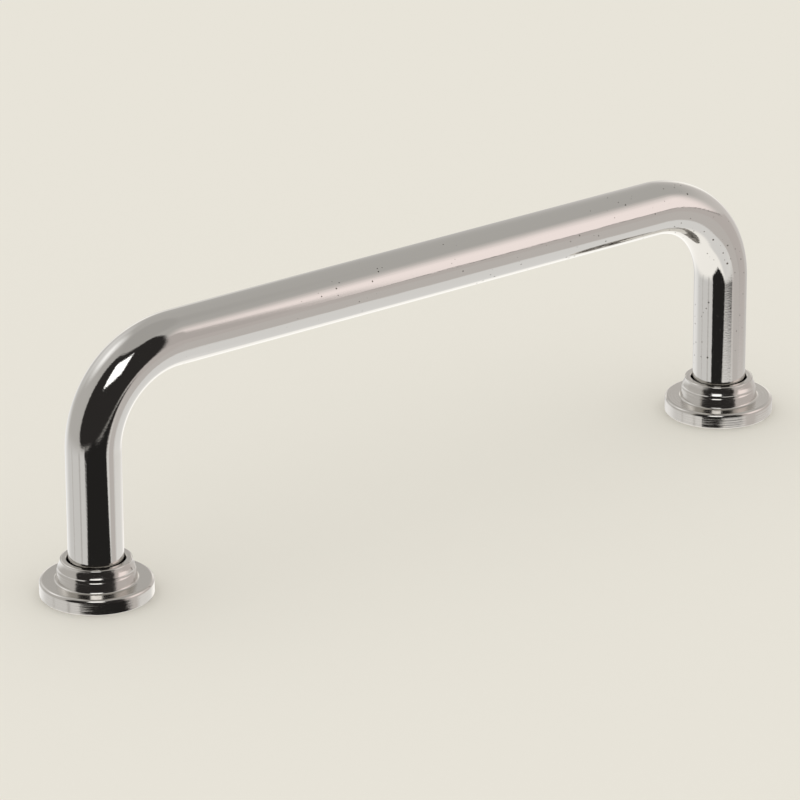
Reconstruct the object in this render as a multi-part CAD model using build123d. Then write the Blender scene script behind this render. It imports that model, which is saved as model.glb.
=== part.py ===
# Bridge pull handle: a bent round bar whose two legs stand in turned rosettes.
# The origin is on the mounting surface, midway between the two fixing screws.
# +X runs along the bar towards the right leg, and +Z points away from the door.
from build123d import *

import os
from math import radians, tan

os.makedirs("parts", exist_ok=True)

# Bar, in millimetres
bar_diameter = 9.0
leg_spacing = 128.0  # between the centres of the two legs, and so of the two screws
projection = 44.5  # from the mounting surface to the top of the bar
bend_radius = 15.5  # of the bar's centreline

# Foot of each leg: a shoulder that seats on the rosette's floor, and a spigot through it
spigot_diameter = 7.0
spigot_clearance = 0.1  # all round, in the rosette's floor
spigot_recess = 0.1  # above the mounting surface, so that the screw clamps the rosette
foot_edge_break = 0.2

# Tapped hole up each leg, M4
thread_core_diameter = 3.3
thread_mouth_diameter = 4.3
thread_depth = 11.0
drill_point_angle = 118.0

# Rosette, worked outwards from the bore that the leg stands in
bore_clearance = 0.25  # all round the leg
bore_chamfer = 0.15
neck_wall = 1.0  # at the mouth
neck_flare = 0.45  # how much wider the neck is at its foot
band_step = 0.4  # from the neck's foot out to the band
flange_width = 2.6  # from the band out to the flange's rim

# Rosette, worked upwards from the mounting surface
floor_thickness = 1.6
flange_thickness = 2.6
band_height = 1.1
groove_width = 1.0
groove_depth = 0.25  # below the straight line between its two lips
neck_height = 1.5

# Rounding of the rosette's edges
flange_edge_radius = 0.6
flange_root_radius = 0.3
mouth_edge_radius = 0.35
base_edge_break = 0.15

bar_radius = bar_diameter / 2
spigot_radius = spigot_diameter / 2
core_radius = thread_core_diameter / 2
half_spacing = leg_spacing / 2

bore_radius = bar_radius + bore_clearance
floor_hole_radius = spigot_radius + spigot_clearance
mouth_radius = bore_radius + neck_wall
neck_foot_radius = mouth_radius + neck_flare
band_radius = neck_foot_radius + band_step
flange_radius = band_radius + flange_width

band_top = flange_thickness + band_height
neck_foot = band_top + groove_width
rosette_height = neck_foot + neck_height


def nearest(points, x, z):
    return points.sort_by_distance((x, z))[0]


def make_rosette():
    groove_bottom = (
        (band_radius + neck_foot_radius) / 2 - groove_depth,
        (band_top + neck_foot) / 2,
    )
    with BuildPart() as rosette:
        with BuildSketch(Plane.XZ) as section:
            with BuildLine():
                Polyline(
                    (band_radius, band_top),
                    (band_radius, flange_thickness),
                    (flange_radius, flange_thickness),
                    (flange_radius, 0),
                    (floor_hole_radius, 0),
                    (floor_hole_radius, floor_thickness),
                    (bore_radius, floor_thickness),
                    (bore_radius, rosette_height),
                    (mouth_radius, rosette_height),
                    (neck_foot_radius, neck_foot),
                )
                ThreePointArc(
                    (neck_foot_radius, neck_foot),
                    groove_bottom,
                    (band_radius, band_top),
                )
            make_face()
            corners = section.vertices()
            rim = nearest(corners, flange_radius, flange_thickness)
            root = nearest(corners, band_radius, flange_thickness)
            mouth = nearest(corners, mouth_radius, rosette_height)
            fillet(rim, flange_edge_radius)
            fillet(root, flange_root_radius)
            fillet(mouth, mouth_edge_radius)
            corners = section.vertices()
            chamfer(nearest(corners, bore_radius, rosette_height), bore_chamfer)
            chamfer(nearest(corners, flange_radius, 0), base_edge_break)
            chamfer(nearest(corners, floor_hole_radius, 0), base_edge_break)
        revolve(axis=Axis.Z)
    return rosette.part


# The hole's mouth is at the origin and its drill point is above it.
def make_tapped_hole():
    mouth_radius_of_hole = thread_mouth_diameter / 2
    countersink = mouth_radius_of_hole - core_radius
    drill_point = core_radius / tan(radians(drill_point_angle / 2))
    with BuildPart() as hole:
        with BuildSketch(Plane.XZ):
            with BuildLine():
                Polyline(
                    (0, 0),
                    (mouth_radius_of_hole, 0),
                    (core_radius, countersink),
                    (core_radius, thread_depth),
                    (0, thread_depth + drill_point),
                    close=True,
                )
            make_face()
        revolve(axis=Axis.Z)
    return hole.part


# The leg's foot, from the shoulder down to the spigot's end, centred on the leg.
def make_spigot():
    length = floor_thickness - spigot_recess
    with BuildPart() as spigot:
        with Locations((0, 0, spigot_recess)):
            Cylinder(spigot_radius, length, align=(Align.CENTER, Align.CENTER, Align.MIN))
        end = spigot.faces().sort_by(Axis.Z)[0]
        chamfer(end.edges(), foot_edge_break)
    return spigot.part


def make_bar():
    axis_height = projection - bar_radius
    with BuildPart() as bar:
        with BuildLine(Plane.XZ):
            FilletPolyline(
                (-half_spacing, floor_thickness),
                (-half_spacing, axis_height),
                (half_spacing, axis_height),
                (half_spacing, floor_thickness),
                radius=bend_radius,
            )
        with BuildSketch(Plane.XY.offset(floor_thickness)):
            with Locations((-half_spacing, 0)):
                Circle(bar_radius)
        sweep()
        shoulders = bar.faces().filter_by(Plane.XY)
        chamfer(shoulders.edges(), foot_edge_break)
        with Locations((-half_spacing, 0), (half_spacing, 0)):
            add(make_spigot())
        with Locations((-half_spacing, 0, spigot_recess), (half_spacing, 0, spigot_recess)):
            add(make_tapped_hole(), mode=Mode.SUBTRACT)
    return bar.part


export_step(make_bar(), "parts/bar.step")
for node, side in (("left_rosette", -1), ("right_rosette", 1)):
    export_step(Pos(side * half_spacing, 0, 0) * make_rosette(), f"parts/{node}.step")
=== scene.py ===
import math

import bmesh
import bpy
from mathutils import Matrix, Vector


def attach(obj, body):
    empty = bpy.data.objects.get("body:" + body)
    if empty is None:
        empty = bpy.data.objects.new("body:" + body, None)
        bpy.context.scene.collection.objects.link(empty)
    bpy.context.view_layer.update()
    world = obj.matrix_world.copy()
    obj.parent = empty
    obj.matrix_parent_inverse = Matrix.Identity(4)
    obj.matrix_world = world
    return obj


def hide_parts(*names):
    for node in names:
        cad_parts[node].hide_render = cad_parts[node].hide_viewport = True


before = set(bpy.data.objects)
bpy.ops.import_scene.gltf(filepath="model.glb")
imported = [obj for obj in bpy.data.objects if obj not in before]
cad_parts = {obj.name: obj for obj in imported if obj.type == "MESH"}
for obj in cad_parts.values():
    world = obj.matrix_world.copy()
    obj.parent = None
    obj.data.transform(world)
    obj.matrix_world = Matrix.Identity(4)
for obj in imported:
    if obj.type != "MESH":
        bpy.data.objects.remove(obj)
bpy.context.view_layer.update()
mm = 0.001
print("frame loaded")


# an sRGB hex colour as the linear RGBA that shader sockets take
def linear(hexColour):
    levels = [int(hexColour[i:i + 2], 16) / 255 for i in (1, 3, 5)]
    return [v / 12.92 if v <= 0.04045 else ((v + 0.055) / 1.055) ** 2.4 for v in levels] + [1]


# adds one node, sets its sockets and properties, and links other nodes' outputs into it
def addNode(tree, kind, inputs=None, **settings):
    node = tree.nodes.new(kind)
    for name, value in settings.items():
        setattr(node, name, value)
    for socket, value in (inputs or {}).items():
        if isinstance(value, bpy.types.NodeSocket):
            tree.links.new(value, node.inputs[socket])
        else:
            node.inputs[socket].default_value = value
    return node


def newMaterial(name):
    material = bpy.data.materials.new(name)
    material.use_nodes = True
    material.node_tree.nodes.clear()
    return material, material.node_tree


# selects one piece alone and opens it in edit mode
def editOnly(piece):
    bpy.ops.object.select_all(action="DESELECT")
    bpy.context.view_layer.objects.active = piece
    piece.select_set(True)
    bpy.ops.object.mode_set(mode="EDIT")


# leaves selected only what passes the test on its vertices' places, in millimetres
def pick(piece, test):
    bpy.ops.mesh.select_mode(type="VERT")
    bpy.ops.mesh.select_all(action="DESELECT")
    mesh = bmesh.from_edit_mesh(piece.data)
    for vertex in mesh.verts:
        vertex.select = bool(test(vertex.co / mm))
    mesh.select_flush_mode()
    bmesh.update_edit_mesh(piece.data)


# extrudes the selected ring to a new radius and height, round an upright axis at (x, 0)
def stepRing(x, oldRadius, newRadius, rise):
    bpy.ops.mesh.extrude_region_move(TRANSFORM_OT_translate={"value": (0, 0, rise * mm)})
    ratio = newRadius / oldRadius
    bpy.ops.transform.resize(value=(ratio, ratio, 1), center_override=(x * mm, 0, 0))


def applyModifier(piece, kind, **settings):
    modifier = piece.modifiers.new(kind.lower(), kind)
    for name, value in settings.items():
        setattr(modifier, name, value)
    bpy.context.view_layer.objects.active = piece
    bpy.ops.object.modifier_apply(modifier=modifier.name)


# closes the seams, turns the faces outwards and smooths all but the corners sharper than the angle
def finishMesh(piece, angle):
    editOnly(piece)
    bpy.ops.mesh.select_all(action="SELECT")
    bpy.ops.mesh.remove_doubles(threshold=0.001 * mm)
    bpy.ops.mesh.normals_make_consistent(inside=False)
    bpy.ops.object.mode_set(mode="OBJECT")
    bpy.ops.object.transform_apply(location=True, rotation=True, scale=True)
    bpy.ops.object.shade_smooth_by_angle(angle=math.radians(angle))


# The bar: half of it is drawn from the middle of the grip down to the tapped hole, then mirrored.
bar = {
    "radius": 4.5,
    "halfSpacing": 64.0,
    "axisHeight": 40.0,
    "bendRadius": 15.5,
    "shoulderHeight": 1.6,
    "shoulderBreak": 0.2,
    "spigotRadius": 3.5,
    "spigotEnd": 0.1,
    "spigotBreak": 0.2,
    "mouthRadius": 2.15,
    "threadRadius": 2.0,   # M4, at the bottom of its grooves
    "coreRadius": 1.65,
    "threadTop": 9.2,
    "drillTop": 11.1,
    "drillAngle": 118.0,
    "segments": 128,
    "bendSteps": 64,
    "sharpAngle": 30,      # corners past this many degrees stay crisp
}


def makeBar():
    r = bar["radius"]
    x = -bar["halfSpacing"]
    bendX = x + bar["bendRadius"]
    bendZ = bar["axisHeight"] - bar["bendRadius"]
    bpy.ops.object.select_all(action="DESELECT")
    bpy.ops.mesh.primitive_circle_add(
        vertices=bar["segments"],
        radius=r * mm,
        location=(0, 0, bar["axisHeight"] * mm),
        rotation=(0, math.radians(90), 0),
    )
    piece = bpy.context.object
    piece.name = "polishedBar"
    bpy.ops.object.transform_apply(location=True, rotation=True, scale=True)
    editOnly(piece)
    bpy.ops.mesh.select_all(action="SELECT")
    bpy.ops.mesh.extrude_region_move(TRANSFORM_OT_translate={"value": (bendX * mm, 0, 0)})
    bpy.ops.mesh.spin(
        steps=bar["bendSteps"],
        angle=math.radians(90),
        center=(bendX * mm, 0, bendZ * mm),
        axis=(0, 1, 0),
    )
    z = bar["shoulderHeight"] + bar["shoulderBreak"]
    stepRing(x, r, r, z - bendZ)
    # shoulder, spigot, and then back up inside the hole
    inner = r - bar["shoulderBreak"]
    stepRing(x, r, inner, -bar["shoulderBreak"])
    stepRing(x, inner, bar["spigotRadius"], 0)
    z = bar["spigotEnd"] + bar["spigotBreak"]
    stepRing(x, bar["spigotRadius"], bar["spigotRadius"], z - bar["shoulderHeight"])
    inner = bar["spigotRadius"] - bar["spigotBreak"]
    stepRing(x, bar["spigotRadius"], inner, -bar["spigotBreak"])
    stepRing(x, inner, bar["mouthRadius"], 0)
    countersink = bar["mouthRadius"] - bar["threadRadius"]
    stepRing(x, bar["mouthRadius"], bar["threadRadius"], countersink)
    z = bar["spigotEnd"] + countersink
    stepRing(x, bar["threadRadius"], bar["threadRadius"], bar["threadTop"] - z)
    runOut = bar["threadRadius"] - bar["coreRadius"]
    stepRing(x, bar["threadRadius"], bar["coreRadius"], runOut)
    stepRing(x, bar["coreRadius"], bar["coreRadius"], bar["drillTop"] - bar["threadTop"] - runOut)
    point = bar["coreRadius"] / math.tan(math.radians(bar["drillAngle"] / 2))
    bpy.ops.mesh.extrude_region_move(TRANSFORM_OT_translate={"value": (0, 0, point * mm)})
    bpy.ops.mesh.merge(type="CENTER")
    bpy.ops.object.mode_set(mode="OBJECT")
    applyModifier(piece, "MIRROR", use_axis=(True, False, False), merge_threshold=0.001 * mm)
    return piece


# The thread inside each leg: the section of its ridge, screwed up round the leg's axis.
thread = {
    "pitch": 0.7,
    "turns": 12,
    "stepsPerTurn": 32,
    "start": 0.62,        # height of the first turn's middle
    "rootWidth": 0.6,
    "crestWidth": 0.14,
    "seat": 0.03,         # how deep the ridge's back sits in the wall
}


def makeThread(x):
    outer = bar["threadRadius"] + thread["seat"]
    middle = (outer + bar["coreRadius"]) / 2
    bpy.ops.object.select_all(action="DESELECT")
    bpy.ops.mesh.primitive_plane_add(size=1 * mm, location=(x * mm, 0, thread["start"] * mm))
    piece = bpy.context.object
    editOnly(piece)
    bpy.ops.mesh.select_all(action="SELECT")
    # stood up in the XZ plane, as wide as the ridge is deep, and moved out to the wall
    for vertex in bmesh.from_edit_mesh(piece.data).verts:
        atWall = vertex.co.x > 0
        width = thread["rootWidth"] if atWall else thread["crestWidth"]
        up = 1 if vertex.co.y > 0 else -1
        vertex.co = Vector((outer if atWall else bar["coreRadius"], 0, up * width / 2)) * mm
    bmesh.update_edit_mesh(piece.data)
    bpy.ops.mesh.delete(type="ONLY_FACE")
    bpy.ops.object.mode_set(mode="OBJECT")
    applyModifier(
        piece,
        "SCREW",
        axis="Z",
        screw_offset=thread["pitch"] * mm,
        iterations=thread["turns"],
        steps=thread["stepsPerTurn"],
        render_steps=thread["stepsPerTurn"],
        use_merge_vertices=False,
    )
    # close both ends of the ridge
    editOnly(piece)
    bpy.ops.mesh.select_all(action="DESELECT")
    bpy.ops.mesh.select_mode(type="EDGE")
    bpy.ops.mesh.select_non_manifold()
    bpy.ops.mesh.fill_holes(sides=4)
    bpy.ops.object.mode_set(mode="OBJECT")
    return piece


barPiece = makeBar()
threadPieces = [makeThread(side * bar["halfSpacing"]) for side in (-1, 1)]
bpy.ops.object.select_all(action="DESELECT")
for piece in threadPieces:
    piece.select_set(True)
barPiece.select_set(True)
bpy.context.view_layer.objects.active = barPiece
bpy.ops.object.join()
finishMesh(barPiece, bar["sharpAngle"])
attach(barPiece, "root")
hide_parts("bar")
print("bar made:", len(barPiece.data.polygons), "faces")


# The rosette: one ring, stepped round its whole section, and then its corners are rounded.
rosette = {
    "boreRadius": 4.75,
    "boreChamfer": 0.15,
    "floorHoleRadius": 3.6,
    "floorThickness": 1.6,
    "mouthRadius": 5.75,
    "neckFootRadius": 6.2,
    "neckHollow": 0.11,     # of the neck's side, below the straight line from mouth to foot
    "bandTopRadius": 6.35,
    "bandFootRadius": 6.6,
    "flangeRadius": 9.2,
    "flangeThickness": 2.6,
    "bandTop": 4.2,
    "neckFoot": 4.75,
    "height": 6.2,
    "grooveDepth": 0.06,
    "arcSteps": 10,
    "baseBreak": 0.15,
    "rimFillet": 0.6,
    "rootFillet": 0.3,
    "mouthFillet": 0.3,
    "lipFillet": 0.04,      # the tool's light touch on the groove's two lips
    "segments": 160,
    "sharpAngle": 30,       # corners past this many degrees stay crisp
}


# points from low to high on the arc that a round-nosed tool leaves, without the first
def hollowArc(low, high, depth):
    low, high = Vector(low), Vector(high)
    across = (high - low).orthogonal().normalized()
    outwards = across if across.x > 0 else -across
    half = (high - low).length / 2
    radius = (half * half + depth * depth) / (2 * depth)
    centre = (low + high) / 2 + outwards * (radius - depth)
    start = math.atan2(low.y - centre.y, low.x - centre.x) % math.tau
    end = math.atan2(high.y - centre.y, high.x - centre.x) % math.tau
    steps = rosette["arcSteps"]
    angles = [start + (end - start) * i / steps for i in range(1, steps + 1)]
    return [(centre.x + radius * math.cos(t), centre.y + radius * math.sin(t)) for t in angles]


def makeRosette(x, name):
    edge = rosette["baseBreak"]
    floorHole = rosette["floorHoleRadius"]
    flange = rosette["flangeRadius"]
    bore = rosette["boreRadius"]
    lowerLip = (rosette["bandTopRadius"], rosette["bandTop"])
    upperLip = (rosette["neckFootRadius"], rosette["neckFoot"])
    mouthEdge = (rosette["mouthRadius"], rosette["height"])
    section = [
        (floorHole, edge),
        (floorHole + edge, 0),
        (flange - edge, 0),
        (flange, edge),
        (flange, rosette["flangeThickness"]),
        (rosette["bandFootRadius"], rosette["flangeThickness"]),
        lowerLip,
        *hollowArc(lowerLip, upperLip, rosette["grooveDepth"]),
        *hollowArc(upperLip, mouthEdge, rosette["neckHollow"]),
        (bore + rosette["boreChamfer"], rosette["height"]),
        (bore, rosette["height"] - rosette["boreChamfer"]),
        (bore, rosette["floorThickness"]),
        (floorHole, rosette["floorThickness"]),
    ]
    bpy.ops.object.select_all(action="DESELECT")
    bpy.ops.mesh.primitive_circle_add(
        vertices=rosette["segments"],
        radius=floorHole * mm,
        location=(x * mm, 0, rosette["floorThickness"] * mm),
    )
    piece = bpy.context.object
    piece.name = name
    bpy.ops.object.transform_apply(location=True, rotation=True, scale=True)
    editOnly(piece)
    bpy.ops.mesh.select_all(action="SELECT")
    radius, height = floorHole, rosette["floorThickness"]
    for nextRadius, nextHeight in section:
        stepRing(x, radius, nextRadius, nextHeight - height)
        radius, height = nextRadius, nextHeight
    bpy.ops.mesh.select_all(action="SELECT")
    bpy.ops.mesh.remove_doubles(threshold=0.001 * mm)
    bpy.ops.mesh.normals_make_consistent(inside=False)
    # each corner's radius and height, its rounding and the steps in it
    for cornerRadius, cornerHeight, offset, steps in (
        (flange, rosette["flangeThickness"], rosette["rimFillet"], 10),
        (rosette["bandFootRadius"], rosette["flangeThickness"], rosette["rootFillet"], 8),
        (*mouthEdge, rosette["mouthFillet"], 8),
        (*lowerLip, rosette["lipFillet"], 3),
        (*upperLip, rosette["lipFillet"], 3),
    ):
        pick(
            piece,
            lambda p: abs(math.hypot(p.x - x, p.y) - cornerRadius) < 0.01
            and abs(p.z - cornerHeight) < 0.01,
        )
        bpy.ops.mesh.bevel(offset=offset * mm, segments=steps, profile=0.5, affect="EDGES")
    bpy.ops.object.mode_set(mode="OBJECT")
    finishMesh(piece, rosette["sharpAngle"])
    applyModifier(piece, "WEIGHTED_NORMAL", mode="FACE_AREA", weight=100, keep_sharp=True)
    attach(piece, "root")
    return piece


rosettePieces = []
for node, name, side in (("left_rosette", "leftRosette", -1), ("right_rosette", "rightRosette", 1)):
    piece = makeRosette(side * bar["halfSpacing"], name)
    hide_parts(node)
    rosettePieces.append(piece)
print("rosettes made:", len(rosettePieces[0].data.polygons), "faces each")


# Polished nickel plate on a drawn and bent bar: a near mirror, a little warmer than chromium.
# Use leaves it a few pinholes, short hairlines and a faint haze from hands.
plate = {
    "colour": "#D1CFCB",
    "pitColour": "#5E5750",
    "roughness": 0.035,
    "hazeRoughness": 0.07,
    "hazeSize": 9.0,
    "hazeRange": (0.42, 0.75),    # of the noise, over which the haze comes on
    "pitSpacing": 1.0,
    "pitSize": 0.19,              # the largest radius, as a share of the spacing
    "pitDepth": 0.02,
    "pitLean": 1.7,               # how much likelier they get towards the right end, for each metre
    "patchSize": 14.0,            # of the places where the pinholes gather
    "patchRange": (0.47, 0.64),   # of the noise, over which they open
    "hairlineWidth": 0.22,        # much coarser than real ones, or they wouldn't show
    "hairlineLength": 9.0,
    "hairlineDepth": 0.006,
}


def makePlate():
    material, tree = newMaterial("polished nickel plate")
    place = addNode(tree, "ShaderNodeTexCoord").outputs["Object"]
    cells = addNode(
        tree,
        "ShaderNodeTexVoronoi",
        {"Vector": place, "Scale": 1000 / plate["pitSpacing"]},
        feature="F1",
    )
    patches = addNode(
        tree,
        "ShaderNodeTexNoise",
        {"Vector": place, "Scale": 1000 / plate["patchSize"], "Detail": 2.0},
    )
    # more of them lie towards the right end
    sides = addNode(tree, "ShaderNodeSeparateXYZ", {"Vector": place})
    lean = addNode(
        tree,
        "ShaderNodeMath",
        {0: sides.outputs["X"], 1: plate["pitLean"], 2: patches.outputs["Fac"]},
        operation="MULTIPLY_ADD",
    )
    # a pinhole is open where its patch says so, and its size varies from cell to cell
    opening = addNode(
        tree,
        "ShaderNodeMapRange",
        {
            "Value": lean.outputs["Value"],
            "From Min": plate["patchRange"][0],
            "From Max": plate["patchRange"][1],
            "To Min": 0.0,
            "To Max": plate["pitSize"],
        },
    )
    tone = addNode(tree, "ShaderNodeSeparateColor", {"Color": cells.outputs["Color"]})
    size = addNode(
        tree,
        "ShaderNodeMath",
        {0: opening.outputs["Result"], 1: tone.outputs["Red"]},
        operation="MULTIPLY",
    )
    pit = addNode(
        tree,
        "ShaderNodeMath",
        {0: cells.outputs["Distance"], 1: size.outputs["Value"]},
        operation="LESS_THAN",
    )
    colour = addNode(
        tree,
        "ShaderNodeMix",
        {0: pit.outputs["Value"], 6: linear(plate["colour"]), 7: linear(plate["pitColour"])},
        data_type="RGBA",
    )
    haze = addNode(
        tree,
        "ShaderNodeTexNoise",
        {"Vector": place, "Scale": 1000 / plate["hazeSize"], "Detail": 5.0, "Roughness": 0.65},
    )
    roughness = addNode(
        tree,
        "ShaderNodeMapRange",
        {
            "Value": haze.outputs["Fac"],
            "From Min": plate["hazeRange"][0],
            "From Max": plate["hazeRange"][1],
            "To Min": plate["roughness"],
            "To Max": plate["hazeRoughness"],
        },
    )
    # hairlines run the way the bar was drawn, along X on the grip
    along, across = 1000 / plate["hairlineLength"], 1000 / plate["hairlineWidth"]
    stretch = addNode(
        tree,
        "ShaderNodeMapping",
        {"Vector": place, "Scale": (along, across, across)},
    )
    hairlines = addNode(
        tree,
        "ShaderNodeTexNoise",
        {"Vector": stretch.outputs["Vector"], "Scale": 1.0, "Detail": 3.0, "Roughness": 0.6},
    )
    fine = addNode(
        tree,
        "ShaderNodeBump",
        {"Height": hairlines.outputs["Fac"], "Strength": 1.0, "Distance": plate["hairlineDepth"] * mm},
    )
    dents = addNode(
        tree,
        "ShaderNodeBump",
        {
            "Height": pit.outputs["Value"],
            "Strength": 1.0,
            "Distance": plate["pitDepth"] * mm,
            "Normal": fine.outputs["Normal"],
        },
        invert=True,
    )
    shader = addNode(
        tree,
        "ShaderNodeBsdfPrincipled",
        {
            "Base Color": colour.outputs[2],
            "Metallic": 1.0,
            "Roughness": roughness.outputs["Result"],
            "Normal": dents.outputs["Normal"],
        },
    )
    addNode(tree, "ShaderNodeOutputMaterial", {"Surface": shader.outputs["BSDF"]})
    return material


# Nickel plate on turned rosettes: the lathe leaves rings that the thin plate doesn't fill, so the
# edges of each reflection break up into fine steps, and the whole looks a little softer than the bar.
turned = {
    "colour": "#CFCCC7",
    "roughness": 0.09,
    "dullRoughness": 0.153,
    "markSpacing": 0.3,      # coarser than a real lathe's feed, so that the marks show
    "markDepth": 0.02,
    "fineSpacing": 0.11,
    "fineDepth": 0.008,
    "fadeLength": 5.0,       # how far round a mark runs before it fades
    "fadeRange": (0.35, 0.7),
}


def makeTurned():
    material, tree = newMaterial("turned nickel plate")
    place = addNode(tree, "ShaderNodeTexCoord").outputs["Object"]
    axes = addNode(tree, "ShaderNodeSeparateXYZ", {"Vector": place})
    # both rosettes share the finish, so the marks follow the distance from either leg's axis
    along = addNode(tree, "ShaderNodeMath", {0: axes.outputs["X"]}, operation="ABSOLUTE")
    along = addNode(
        tree,
        "ShaderNodeMath",
        {0: along.outputs["Value"], 1: bar["halfSpacing"] * mm},
        operation="SUBTRACT",
    )
    flat = addNode(tree, "ShaderNodeCombineXYZ", {"X": along.outputs["Value"], "Y": axes.outputs["Y"]})
    radius = addNode(tree, "ShaderNodeVectorMath", {0: flat.outputs["Vector"]}, operation="LENGTH")
    ring = addNode(
        tree,
        "ShaderNodeCombineXYZ",
        {"X": radius.outputs["Value"], "Y": axes.outputs["Z"]},
    )
    fade = addNode(
        tree,
        "ShaderNodeTexNoise",
        {"Vector": place, "Scale": 1000 / turned["fadeLength"], "Detail": 2.0},
    )
    normal = None
    for spacing, depth in (
        (turned["markSpacing"], turned["markDepth"]),
        (turned["fineSpacing"], turned["fineDepth"]),
    ):
        marks = addNode(
            tree,
            "ShaderNodeTexNoise",
            {
                "Vector": ring.outputs["Vector"],
                "Scale": 1000 / spacing,
                "Detail": 2.0,
                "Roughness": 0.6,
            },
        )
        height = addNode(
            tree,
            "ShaderNodeMath",
            {0: marks.outputs["Fac"], 1: fade.outputs["Fac"]},
            operation="MULTIPLY",
        )
        inputs = {"Height": height.outputs["Value"], "Strength": 1.0, "Distance": 2 * depth * mm}
        if normal:
            inputs["Normal"] = normal
        normal = addNode(tree, "ShaderNodeBump", inputs).outputs["Normal"]
    roughness = addNode(
        tree,
        "ShaderNodeMapRange",
        {
            "Value": fade.outputs["Fac"],
            "From Min": turned["fadeRange"][0],
            "From Max": turned["fadeRange"][1],
            "To Min": turned["roughness"],
            "To Max": turned["dullRoughness"],
        },
    )
    shader = addNode(
        tree,
        "ShaderNodeBsdfPrincipled",
        {
            "Base Color": linear(turned["colour"]),
            "Metallic": 1.0,
            "Roughness": roughness.outputs["Result"],
            "Normal": normal,
        },
    )
    addNode(tree, "ShaderNodeOutputMaterial", {"Surface": shader.outputs["BSDF"]})
    return material


barPiece.data.materials.append(makePlate())
turnedFinish = makeTurned()
for piece in rosettePieces:
    piece.data.materials.append(turnedFinish)
print("finishes made")


# The camera: where it stands from the handle in degrees and millimetres, and its lens.
view = {
    "azimuth": -36.3352,
    "elevation": 22.1796,
    "roll": -0.2998,
    "distance": 940.55,
    "lens": 257.6,
    "over": 20.0,                # the height of the point that it turns round
    "aim": (-3.0671, -2.4278),   # across and up, from that point
}


def makeCamera():
    a, e, roll = (math.radians(view[k]) for k in ("azimuth", "elevation", "roll"))
    back = Vector((math.sin(a) * math.cos(e), -math.cos(a) * math.cos(e), math.sin(e)))
    across = Vector((math.cos(a), math.sin(a), 0))
    up = back.cross(across)
    right = across * math.cos(roll) + up * math.sin(roll)
    top = up * math.cos(roll) - across * math.sin(roll)
    centre = Vector((0, 0, view["over"])) + right * view["aim"][0] + top * view["aim"][1]
    data = bpy.data.cameras.new("camera")
    data.lens = view["lens"]
    data.sensor_width = 36
    data.clip_start = 0.01
    data.clip_end = 10
    camera = bpy.data.objects.new("camera", data)
    bpy.context.scene.collection.objects.link(camera)
    camera.matrix_world = Matrix.Translation((centre + back * view["distance"]) * mm) @ Matrix((
        (right.x, top.x, back.x, 0),
        (right.y, top.y, back.y, 0),
        (right.z, top.z, back.z, 0),
        (0, 0, 0, 1),
    ))
    bpy.context.scene.camera = camera


makeCamera()
print("camera placed")


# The studio is a light tent that only the metal sees, a pale floor, and even light for the floor.
tent = {
    "radius": 700.0,
    "height": 22.0,
    "rings": 180,
    "base": "#C9C7C4",
}

# What hangs in the tent, each over the ones before it: middle azimuth and elevation,
# half widths, soft edge and corner radius in degrees, colour and level.
tentCards = {
    "leftWall": ((-145, 0), (48, 40), 30, 20, "#CFCDCA", 1.0),
    "leftLamp": ((-152, 40), (17, 13), 26, 15, "#FFFFFF", 1.4),
    "leftLampFoot": ((-172, 22), (14, 14), 24, 12, "#F7F6F5", 1.0),
    "rightWall": ((78, 2), (60, 22), 34, 20, "#E4DFDC", 1.0),
    "rightLamp": ((46, 17), (22, 24), 28, 14, "#FFF3F1", 1.3),
    "besideOpening": ((25, 8), (7, 28), 4, 4, "#CFC8C5", 1.0),
    "underSeam": ((52, -9), (40, 13), 1.5, 5, "#D6CFCC", 1.0),
    "rearLamp": ((128, 2), (8, 12), 16, 8, "#FFFCF6", 1.25),
    "farLamp": ((160, 2), (8, 10), 14, 8, "#FFFCF6", 1.2),
    "lowerHalf": ((0, -67), (360, 43), 10, 0, "#FFFDF9", 1.3),
    "lowerRight": ((48, -44), (64, 20), 12, 10, "#FBFAF9", 1.0),
    "underBar": ((40, -22), (12.5, 14), 2.5, 3, "#DAD5D2", 1.0),
    "foldFarRight": ((56, -24), (0.7, 9), 1.5, 0, "#C8C6C4", 1.0),
    "lowerLeft": ((-115, -22), (60, 9), 14, 0, "#ECEBEA", 1.0),
    "foldLeft": ((-92, -24), (2.5, 9), 4, 0, "#CFCDCB", 1.0),
    "foldFarLeft": ((-126, -24), (1.5, 9), 3, 0, "#D2D0CE", 1.0),
    "lowerLeftLamp": ((-180, -20), (20, 9), 34, 8, "#FFFFFF", 1.15),
    "ceiling": ((0, 90), (360, 27), 12, 0, "#BEBCB9", 1.0),
    "opening": ((-39, 25), (57, 37.5), 4, 18, "#343231", 1.0),
    "softbox": ((-41, 41), (17, 10.5), 1.5, 1, "#FFFFFF", 2.2),
    "underOpening": ((-26, -16), (45, 5.2), 2, 2, "#2F2D2C", 1.0),
    "hem": ((-36, -11.6), (54, 0.5), 0.8, 0, "#D8D5D1", 1.0),
    "seam": ((54, 4), (22, 0.6), 1.0, 0, "#7E7875", 1.0),
}


# how much of a card lies in a direction, from 0 outside its soft edge to 1 inside
def cardCover(card, azimuth, elevation):
    (midAzimuth, midElevation), (halfAzimuth, halfElevation), soft, corner = card[:4]
    up = halfElevation - abs(elevation - midElevation)
    if up < -soft:
        return 0.0
    turn = (azimuth - midAzimuth + 180) % 360 - 180
    side = halfAzimuth - abs(turn)
    inside = min(side, up)
    if side < corner and up < corner:
        inside = corner - math.hypot(corner - side, corner - up)
    t = min(max(inside / soft + 0.5, 0), 1)
    return t * t * (3 - 2 * t)


# the piece lights nothing, shades nothing and isn't seen, except as a reflection
def onlyForMetal(piece):
    for ray in ("camera", "diffuse", "transmission", "volume_scatter", "shadow"):
        setattr(piece, "visible_" + ray, False)


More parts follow.
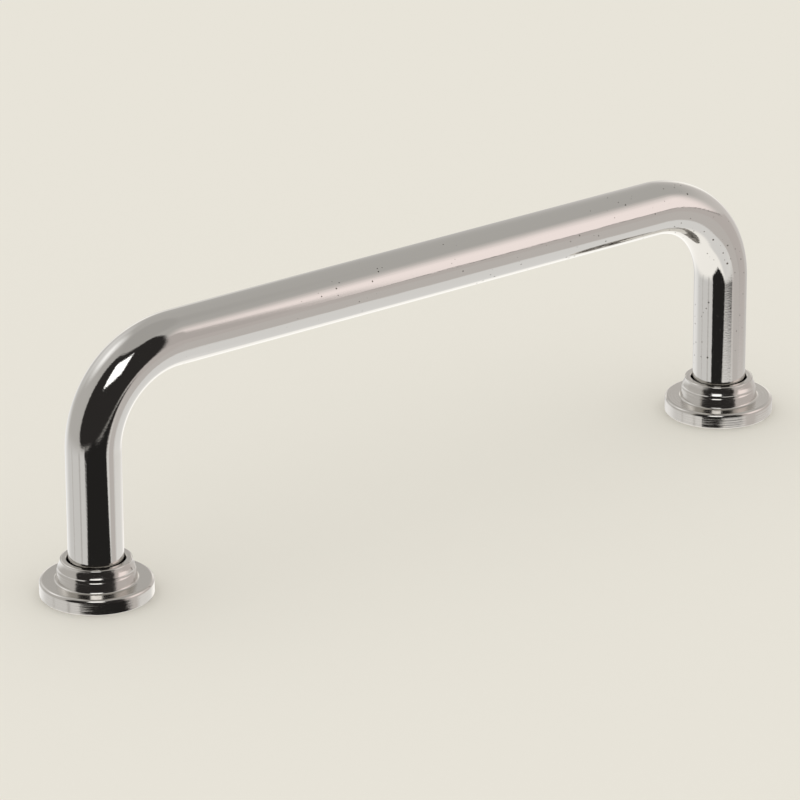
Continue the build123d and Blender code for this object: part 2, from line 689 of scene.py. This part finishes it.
def makeTent():
    bpy.ops.object.select_all(action="DESELECT")
    bpy.ops.mesh.primitive_uv_sphere_add(
        segments=2 * tent["rings"],
        ring_count=tent["rings"],
        radius=tent["radius"] * mm,
        location=(0, 0, tent["height"] * mm),
    )
    dome = bpy.context.object
    dome.name = "lightTent"
    bpy.ops.object.transform_apply(location=True, rotation=True, scale=True)
    light = dome.data.attributes.new("tentLight", "FLOAT_COLOR", "POINT")
    base = linear(tent["base"])[:3]
    cards = [(card, [v * card[5] for v in linear(card[4])[:3]]) for card in tentCards.values()]
    for vertex, paint in zip(dome.data.vertices, light.data):
        way = (vertex.co / mm - Vector((0, 0, tent["height"]))).normalized()
        azimuth = math.degrees(math.atan2(way.x, -way.y))
        elevation = math.degrees(math.asin(max(-1, min(1, way.z))))
        colour = base
        for card, level in cards:
            cover = cardCover(card, azimuth, elevation)
            if cover:
                colour = [c + (v - c) * cover for c, v in zip(colour, level)]
        paint.color = (*colour, 1)
    # thin cloth lit from outside: it gives the metal broad soft steps of brightness to mirror
    glow, tree = newMaterial("light tent")
    paintNode = addNode(tree, "ShaderNodeAttribute", attribute_name="tentLight")
    shine = addNode(tree, "ShaderNodeEmission", {"Color": paintNode.outputs["Color"]})
    addNode(tree, "ShaderNodeOutputMaterial", {"Surface": shine.outputs["Emission"]})
    glow.cycles.emission_sampling = "NONE"
    dome.data.materials.append(glow)
    onlyForMetal(dome)


# A black card laid low in front of the handle, near enough for the two legs to see it differently.
blackCard = {
    "height": -50.0,
    "corners": [
        (1, -72),
        (-54, -34),
        (-124, -60),
        (-180, -46),
        (-235, -97),
        (-330, -200),
        (-300, -330),
        (1, -330),
    ],
    "colour": "#2A2928",
}


def makeBlackCard():
    bpy.ops.object.select_all(action="DESELECT")
    bpy.ops.mesh.primitive_circle_add(vertices=len(blackCard["corners"]), fill_type="NGON")
    card = bpy.context.object
    card.name = "blackCard"
    for vertex, corner in zip(card.data.vertices, blackCard["corners"]):
        vertex.co = Vector((*corner, blackCard["height"])) * mm
    # matt black card: nearly no light comes off it, so it mirrors as one plain dark strip
    felt, tree = newMaterial("black card")
    shine = addNode(tree, "ShaderNodeEmission", {"Color": linear(blackCard["colour"])})
    addNode(tree, "ShaderNodeOutputMaterial", {"Surface": shine.outputs["Emission"]})
    felt.cycles.emission_sampling = "NONE"
    card.data.materials.append(felt)
    onlyForMetal(card)


makeTent()
makeBlackCard()
print("tent hung")

floor = {"size": 8.0, "colour": "#E8E4D9"}


def makeFloor():
    bpy.ops.object.select_all(action="DESELECT")
    bpy.ops.mesh.primitive_plane_add(size=floor["size"], location=(0, 0, 0))
    sheet = bpy.context.object
    sheet.name = "floor"
    # uncoated paper: an even warm white without shine, which takes a soft shadow
    paper, tree = newMaterial("pale paper")
    matt = addNode(tree, "ShaderNodeBsdfDiffuse", {"Color": linear(floor["colour"])})
    clear = addNode(tree, "ShaderNodeBsdfTransparent")
    side = addNode(tree, "ShaderNodeNewGeometry")
    # from below the paper isn't there, so that the feet can be seen
    mix = addNode(
        tree,
        "ShaderNodeMixShader",
        {0: side.outputs["Backfacing"], 1: matt.outputs["BSDF"], 2: clear.outputs["BSDF"]},
    )
    addNode(tree, "ShaderNodeOutputMaterial", {"Surface": mix.outputs["Shader"]})
    sheet.data.materials.append(paper)
    sheet.visible_glossy = False


# even white light for the floor, and the floor's own colour where the sky is seen or mirrored
def makeWorld():
    world = bpy.data.worlds.new("studio")
    bpy.context.scene.world = world
    world.use_nodes = True
    tree = world.node_tree
    tree.nodes.clear()
    path = addNode(tree, "ShaderNodeLightPath")
    straight = addNode(
        tree,
        "ShaderNodeMath",
        {0: path.outputs["Is Camera Ray"], 1: path.outputs["Is Glossy Ray"]},
        operation="MAXIMUM",
    )
    light = addNode(tree, "ShaderNodeBackground", {"Color": (1, 1, 1, 1), "Strength": 1.0})
    seen = addNode(tree, "ShaderNodeBackground", {"Color": linear(floor["colour"]), "Strength": 1.0})
    mix = addNode(
        tree,
        "ShaderNodeMixShader",
        {
            0: straight.outputs["Value"],
            1: light.outputs["Background"],
            2: seen.outputs["Background"],
        },
    )
    addNode(tree, "ShaderNodeOutputWorld", {"Surface": mix.outputs["Shader"]})


makeFloor()
makeWorld()
bpy.context.scene.view_settings.view_transform = "Standard"
print("studio set")
